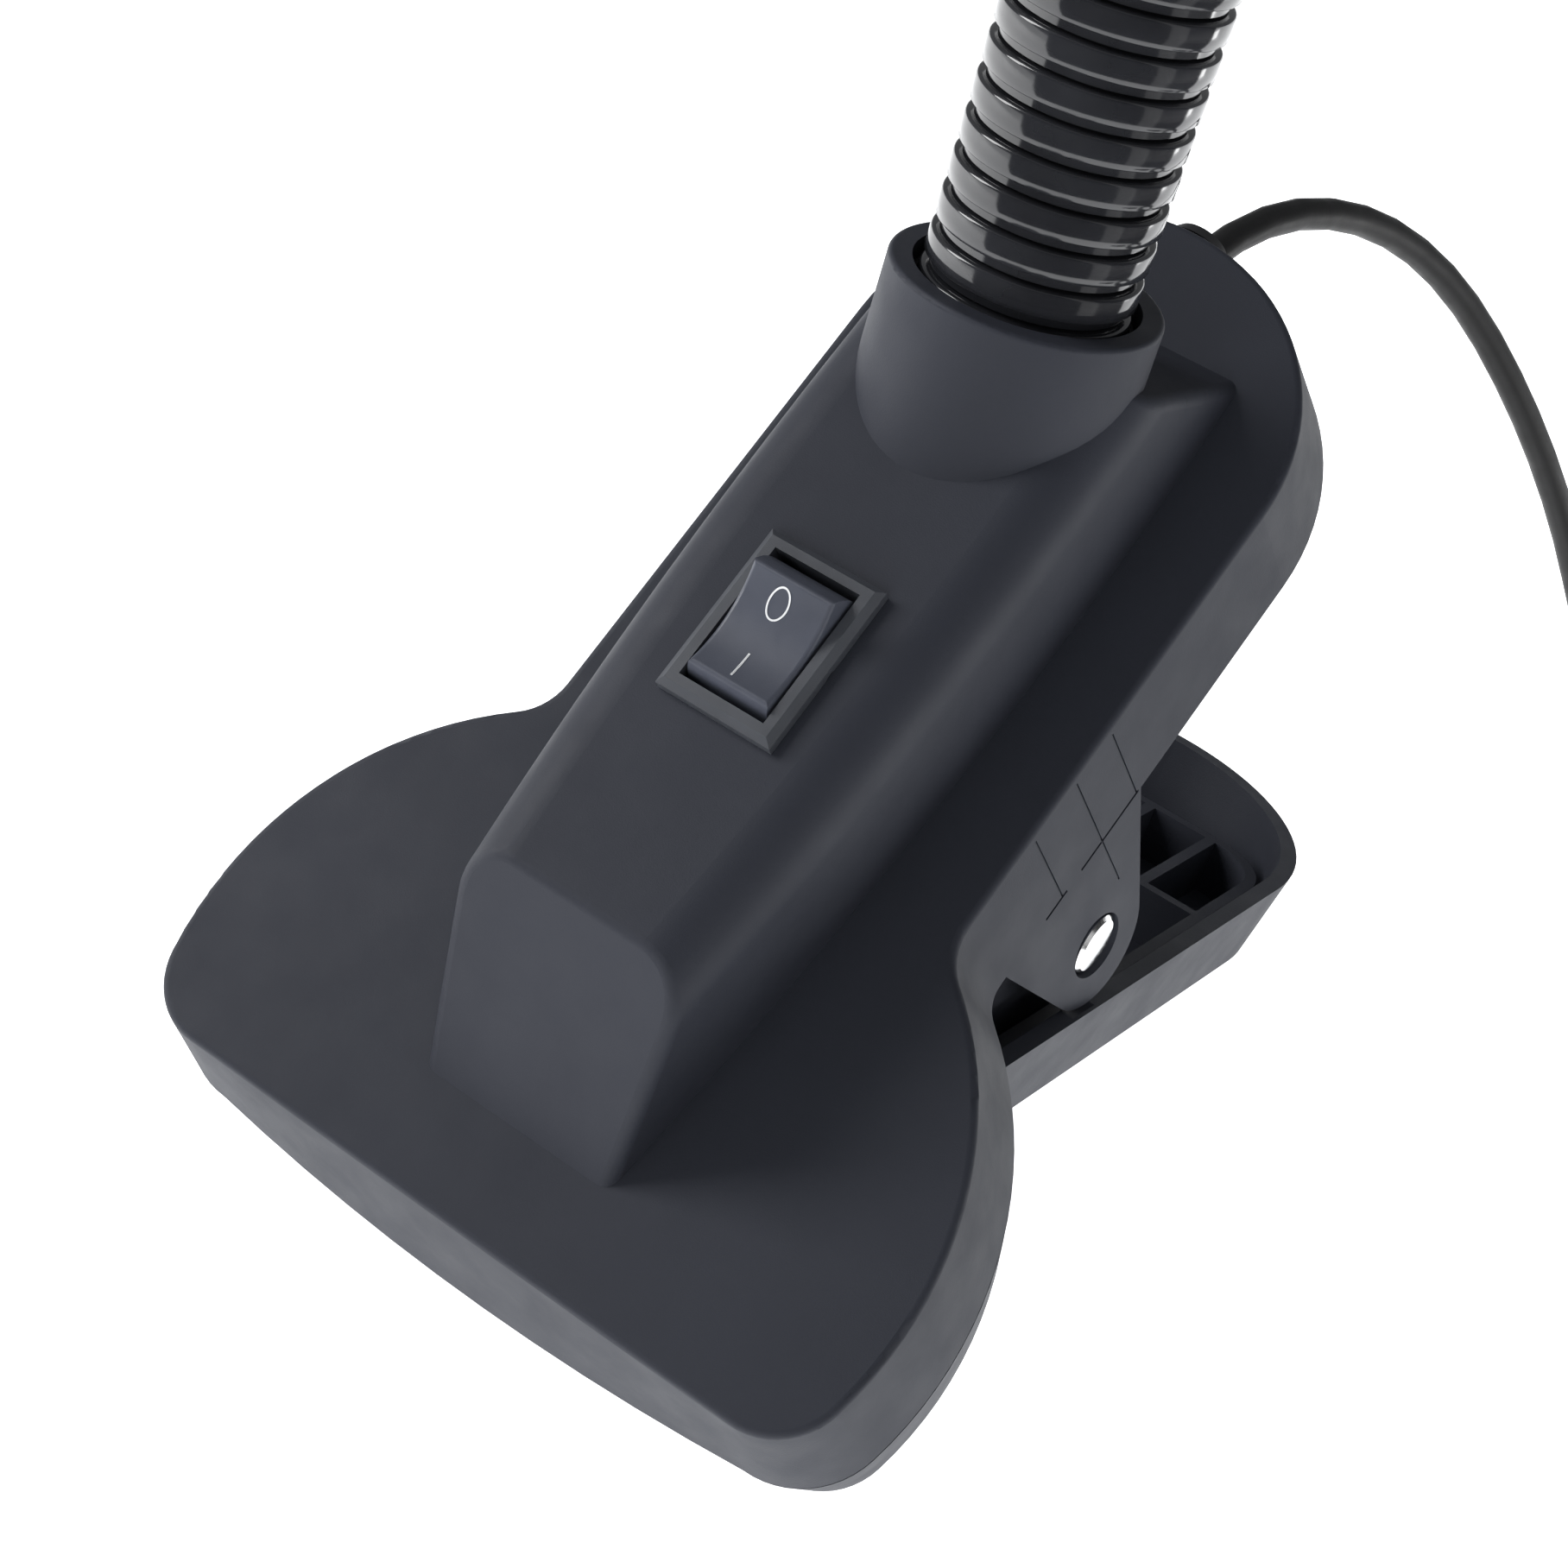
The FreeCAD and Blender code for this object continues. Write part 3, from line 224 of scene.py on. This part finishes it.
LOOKS = {
    "jaw_plastic": jaw_plastic(),
    "grip_rubber": soft_rubber("grip_rubber", (0.022, 0.022, 0.024), 2400),
    "cover_plastic": moulded("cover_plastic", (0.035, 0.037, 0.042)),
    "screw_steel": steel("screw_steel", (0.62, 0.62, 0.64), 0.3, (1, 1, 1), 0.000006),
    "clamp_plastic": moulded("clamp_plastic", (0.03, 0.03, 0.033)),
    "pin_steel": steel("pin_steel", (0.93, 0.93, 0.93), 0.16, (0.1, 1, 1), 0.000004),
    "bush_plastic": moulded("bush_plastic", (0.6, 0.59, 0.56), 0.42),
    "spring_steel": steel("spring_steel", (0.5, 0.5, 0.51), 0.3, (1, 1, 1), 0.000008),
    "switch_plastic": switch_plastic("switch_plastic", (0.068, 0.073, 0.085), 0.36),
    "rocker_plastic": switch_plastic("rocker_plastic", (0.076, 0.083, 0.108), 0.36),
    "contact_brass": steel("contact_brass", (0.78, 0.6, 0.28), 0.28),
    "lead_pvc": moulded("lead_pvc", (0.42, 0.02, 0.016), 0.4),
    "neck_plastic": gloss_black("neck_plastic", (0.019, 0.0198, 0.023), 0.1),
    "core_steel": steel("core_steel", (0.46, 0.46, 0.47), 0.36),
    "ferrule_black": gloss_black("ferrule_black", (0.02, 0.02, 0.021), 0.22, 0.00001),
    "nipple_steel": steel("nipple_steel", (0.68, 0.68, 0.69), 0.26, (1, 1, 0.1)),
    "cord_pvc": moulded("cord_pvc", (0.0088, 0.0088, 0.0092), 0.5, 2600),
    "plug_steel": steel("plug_steel", (0.74, 0.74, 0.74), 0.24, (1, 0.08, 1)),
    "tongue_plastic": moulded("tongue_plastic", (0.8, 0.8, 0.79), 0.4),
    "mark_white": moulded("mark_white", (0.86, 0.87, 0.88), 0.5),
}


def paint(obj, name):
    obj.data.materials.clear()
    obj.data.materials.append(LOOKS[name].material)
    return obj


SLOT_OF = {entry["node"]: entry["material_slot"] for entry in record["subparts"]}
for node_name, node in nodes.items():
    paint(node, SLOT_OF[node_name])


# ---------------------------------------------------------------- mesh helpers
def new_mesh(name, vertices, faces, body, look):
    """A smooth-shaded piece on a body, or left loose in the world when no body is given."""
    mesh = bpy.data.meshes.new(name)
    mesh.from_pydata([tuple(v) for v in vertices], [], faces)
    mesh.update()
    obj = bpy.data.objects.new(name, mesh)
    bpy.context.scene.collection.objects.link(obj)
    mesh.shade_smooth()
    paint(obj, look)
    if body:
        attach(obj, body)
    return obj


def lathe(name, profile, origin, axis, body, look, sides=96):
    """A ring of (radius, height) points in millimetres turned about an axis, as one closed skin."""
    turn = Vector((0, 0, 1)).rotation_difference(axis)
    vertices = []
    for index in range(sides):
        angle = 2 * math.pi * index / sides
        for radius, height in profile:
            spot = Vector((radius * math.cos(angle), radius * math.sin(angle), height)) * MM
            vertices.append(origin + turn @ spot)
    count = len(profile)
    faces = []
    for index in range(sides):
        after = (index + 1) % sides
        for k in range(count):
            above = (k + 1) % count
            faces.append((index * count + k, after * count + k, after * count + above,
                          index * count + above))
    return new_mesh(name, vertices, faces, body, look)


def crease(obj, angle=32):
    """Sharp edges stay sharp under smooth shading."""
    obj.data.set_sharp_from_angle(angle=math.radians(angle))
    return obj


# ---------------------------------------------------------------- cord
CORD_DIAMETER = 0.004
COIL_CENTRE = Vector((0.101, 0.104, 0))
COIL_TURNS = 8.25
TURN_POINTS = 12
ROUTE = [tuple(jaw(0, 36, -6)), tuple(jaw(0, 57.5, -6)), (0.011, 0.086, 0.098), (0.033, 0.107, 0.066),
         (0.050, 0.121, 0.027), (0.072, 0.128, 0.002)]
TAIL = [(0.125, 0.086, 0.008), (0.125, 0.068, 0.004)]
# the turns lie in three columns and three layers, the middle column first
COLUMNS = [(24, 2), (28, 2), (28, 6), (24, 6), (20, 2), (20, 6), (20, 10), (24, 10), (24, 10)]


def coil_points():
    """The turns, clockwise from the far side, each stepping to the next place over its last third."""
    points = []
    for step in range(int(COIL_TURNS * TURN_POINTS) + 1):
        turn, part = divmod(step / TURN_POINTS, 1)
        here = Vector(COLUMNS[min(int(turn), len(COLUMNS) - 1)])
        following = Vector(COLUMNS[min(int(turn) + 1, len(COLUMNS) - 1)])
        radius, height = here.lerp(following, max(0.0, part * 3 - 2)) * MM
        angle = math.pi / 2 - 2 * math.pi * part
        points.append(COIL_CENTRE + Vector((radius * math.cos(angle), radius * math.sin(angle), height)))
    return points


def cord_curve():
    curve = bpy.data.curves.new("supply_lead", "CURVE")
    curve.dimensions = "3D"
    curve.bevel_depth = CORD_DIAMETER / 2
    curve.bevel_resolution = 5
    curve.resolution_u = 6
    curve.use_fill_caps = True
    spline = curve.splines.new("NURBS")
    points = ROUTE + [tuple(p) for p in coil_points()] + TAIL
    spline.points.add(len(points) - 1)
    for target, spot in zip(spline.points, points):
        target.co = (*spot, 1)
    spline.order_u = 3
    spline.use_endpoint_u = True
    obj = bpy.data.objects.new("supply_lead", curve)
    bpy.context.scene.collection.objects.link(obj)
    paint(obj, "cord_pvc")
    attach(obj, "upper_jaw")
    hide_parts("supply_cord", "supply_cord_coil", "supply_cord_tail")
    return obj


supply_lead = cord_curve()

# ---------------------------------------------------------------- neck sleeve
# millimetres from the neck's axis and along it; each piece over a joint starts RINGS_BELOW_JOINT rings below
# it
RING = 4.3
LINK_RINGS = 5
BASE_RINGS = 6
RINGS_BELOW_JOINT = 2
LINKS = 6
RIDGE_RADIUS = 11.9
BAND_RADIUS = 11.0
SLOT_RADIUS = 10.1
INNER_RADIUS = 9.2


def ring_profile(start):
    """One turn of the sleeve from its foot up: a narrow recessed band, a broad ridge, a thin dark slot."""
    return [(BAND_RADIUS, start), (BAND_RADIUS, start + 1.02), (RIDGE_RADIUS - 0.12, start + 1.06),
            (RIDGE_RADIUS, start + 1.18), (RIDGE_RADIUS, start + 2.4), (RIDGE_RADIUS, start + 3.55),
            (RIDGE_RADIUS - 0.05, start + 3.74), (RIDGE_RADIUS - 0.2, start + 3.88),
            (RIDGE_RADIUS - 0.5, start + 3.98), (SLOT_RADIUS, start + 4.02), (SLOT_RADIUS, start + 4.26)]


def sleeve(name, first_ring, rings, body):
    """A closed tube with a thin wall, its rings counted from the sleeve's foot."""
    profile = []
    for ring in range(first_ring, first_ring + rings):
        profile += ring_profile(ring * RING)
    low, high = first_ring * RING, (first_ring + rings) * RING
    profile += [(INNER_RADIUS, high - 0.02), (INNER_RADIUS, (low + high) / 2),
                (INNER_RADIUS, low)]
    foot = FIRST_JOINT - NECK_AXIS * (BASE_RINGS * RING * MM)
    return crease(lathe(name, profile, foot, NECK_AXIS, body, "neck_plastic"), 50)


def neck_pieces():
    """The base, then one piece over each joint, spanning the links on its two sides."""
    base = sleeve("neck_sleeve_foot", 0, BASE_RINGS - RINGS_BELOW_JOINT, "upper_jaw")
    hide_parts("neck_base_sleeve")
    for k in range(LINKS):
        top = LINK_RINGS if k == LINKS - 1 else LINK_RINGS - RINGS_BELOW_JOINT
        first = BASE_RINGS + k * LINK_RINGS - RINGS_BELOW_JOINT
        piece = sleeve("neck_sleeve_bend_%d" % (k + 1), first, RINGS_BELOW_JOINT + top, None)
        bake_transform(piece)
        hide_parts("neck_sleeve_%d" % (k + 1))


neck_pieces()

# ---------------------------------------------------------------- switch marks
ROCKER_TILT = math.radians(10)
ROCKER = JAW.to_3x3().to_4x4() @ Matrix.Rotation(ROCKER_TILT, 4, "X")
ROCKER.translation = Vector(joint("rocker_tilt")["pos_m"])
rocker_node = nodes["switch_rocker"]
TO_NODE = rocker_node.matrix_world.inverted()
# millimetres: half the print's thickness, and where a ray down onto the rocker starts
PRINT_THICK = 0.06
CLEAR_ABOVE = 10


def on_rocker(x, y, proud):
    """The point of the rocker's dished top over (x, y), moved out by proud: millimetres in, metres out."""
    above = ROCKER @ (Vector((x, y, CLEAR_ABOVE)) * MM)
    down = -(ROCKER.to_3x3() @ Vector((0, 0, 1)))
    place = rocker_node.ray_cast(TO_NODE @ above, TO_NODE.to_3x3() @ down)[1]
    return rocker_node.matrix_world @ place - down * (proud * MM)


def mark(name, outer, inner):
    """A printed mark between two closed lines of (x, y) points, a hair proud of the rocker."""
    vertices, faces = [], []
    thick = PRINT_THICK
    for line, proud in ((outer, thick), (inner, thick), (inner, -thick), (outer, -thick)):
        vertices += [on_rocker(x, y, proud) for x, y in line]
    count = len(outer)
    for band in range(4):
        for k in range(count):
            a, b = band * count, (band + 1) % 4 * count
            after = (k + 1) % count
            faces.append((a + k, a + after, b + after, b + k))
    return crease(new_mesh(name, vertices, faces, "rocker", "mark_white"))


def oval(centre_x, centre_y, wide, long, sides=48):
    angles = [2 * math.pi * k / sides for k in range(sides)]
    return [(centre_x + wide * math.cos(a), centre_y + long * math.sin(a)) for a in angles]


def bar(centre_x, centre_y, wide, long, steps=12):
    """A thin upright rectangle's outline, its long sides in short steps so that it follows the dish."""
    rises = [centre_y - long + 2 * long * k / steps for k in range(steps + 1)]
    return [(centre_x + wide, y) for y in rises] + [(centre_x - wide, y) for y in reversed(rises)]


OFF_AT = (-0.5, 3.5)
ON_AT = (-0.3, -3.9)
mark("mark_off", oval(*OFF_AT, 1.28, 1.85), oval(*OFF_AT, 1.08, 1.65))
mark("mark_on", bar(*ON_AT, 0.11, 1.5), bar(*ON_AT, 0.02, 1.4))

# ---------------------------------------------------------------- light and floor
FLOOR_GLOW = 1.3
FLOOR_SPAN = 6.0
WALL_RADIUS = 4.0
WALL_HEIGHT = 4.0
SKY_STRENGTH = 0.19
floor = bpy.data.objects.new("floor", bpy.data.meshes.new("floor"))
bpy.context.scene.collection.objects.link(floor)
corners = [(-1, -1), (1, -1), (1, 1), (-1, 1)]
floor.data.from_pydata([(x * FLOOR_SPAN, y * FLOOR_SPAN, 0) for x, y in corners], [], [(0, 1, 2, 3)])
floor_look = Look("floor", (0.93, 0.93, 0.93), 0.7, specular=0.2)
floor_look.vary_colour(floor_look.noise(6, 3), 0.3, 0.7, 0.99, 1.01)
floor_look.shader.inputs["Emission Color"].default_value = (0.98, 0.99, 1.0, 1)
floor_look.shader.inputs["Emission Strength"].default_value = FLOOR_GLOW
floor.data.materials.append(floor_look.material)


def backdrop(sides=48):
    """A round wall as bright as the floor, which only the camera sees."""
    ring = [2 * math.pi * k / sides for k in range(sides)]
    vertices = [(WALL_RADIUS * math.cos(a), WALL_RADIUS * math.sin(a), z)
                for z in (0, WALL_HEIGHT) for a in ring]
    faces = [(k, (k + 1) % sides, sides + (k + 1) % sides, sides + k) for k in range(sides)]
    mesh = bpy.data.meshes.new("backdrop")
    mesh.from_pydata(vertices, [], faces)
    mesh.materials.append(floor_look.material)
    wall = bpy.data.objects.new("backdrop", mesh)
    bpy.context.scene.collection.objects.link(wall)
    wall.visible_diffuse = False
    wall.visible_glossy = False
    wall.visible_shadow = False


backdrop()

world = bpy.data.worlds.new("studio")
world.use_nodes = True
world.node_tree.nodes["Background"].inputs["Color"].default_value = (0.95, 0.97, 1.0, 1)
world.node_tree.nodes["Background"].inputs["Strength"].default_value = SKY_STRENGTH
bpy.context.scene.world = world
bpy.context.scene.view_settings.view_transform = "Standard"


def soft_light(name, place, aim, wide, high, power):
    light = bpy.data.lights.new(name, "AREA")
    light.shape = "RECTANGLE"
    light.size, light.size_y = wide, high
    light.energy = power
    obj = bpy.data.objects.new(name, light)
    bpy.context.scene.collection.objects.link(obj)
    aim_way = (Vector(aim) - Vector(place)).to_track_quat("-Z", "Y").to_matrix().to_4x4()
    obj.matrix_world = Matrix.Translation(place) @ aim_way


MIDDLE = (0, 0, 0.06)
# the cards' section, in metres from the part's middle and up: a floor strip, a slope and an upright
CARD_SECTION = [(0.17, 0.002), (0.32, 0.002), (0.34, 0.03), (0.34, 0.6)]
CARD_STEP = 4


def flag(name, first, last, glow):
    """A curved card that only glossy surfaces see, from first to last degrees right of the camera."""
    towards = math.atan2(CAMERA_AT.y, CAMERA_AT.x)
    steps = round((last - first) / CARD_STEP)
    angles = [towards + math.radians(first + (last - first) * k / steps) for k in range(steps + 1)]
    vertices = [(r * math.cos(a), r * math.sin(a), z) for a in angles for r, z in CARD_SECTION]
    count = len(CARD_SECTION)
    faces = [(i * count + k, i * count + k + 1, (i + 1) * count + k + 1, (i + 1) * count + k)
             for i in range(len(angles) - 1) for k in range(count - 1)]
    mesh = bpy.data.meshes.new(name)
    mesh.from_pydata(vertices, [], faces)
    card = bpy.data.objects.new(name, mesh)
    bpy.context.scene.collection.objects.link(card)
    look = Look(name, (0.005, 0.005, 0.006), 0.9, specular=0.0)
    look.shader.inputs["Emission Color"].default_value = (1, 1, 1, 1)
    look.shader.inputs["Emission Strength"].default_value = glow
    mesh.materials.append(look.material)
    card.visible_camera = False
    card.visible_diffuse = False
    card.visible_shadow = False


# the neck's dark middle, the grey streak right of it, and its dark edge
flag("dark_flag", -56, 56, 0.0)
flag("grey_flag", 56, 76, 0.4)
flag("edge_flag", 76, 112, 0.02)
soft_light("left_window", (-0.75, -0.35, 0.55), MIDDLE, 0.35, 0.7, 6)
soft_light("right_window", (0.85, -0.15, 0.35), MIDDLE, 0.3, 0.7, 0.6)
soft_light("right_low_strip", (0.33, 0.17, 0.02), (0.03, 0.05, 0.06), 0.4, 0.05, 0.35)
soft_light("front_fill", (0.15, -1.0, 0.25), MIDDLE, 0.9, 0.4, 2.4)
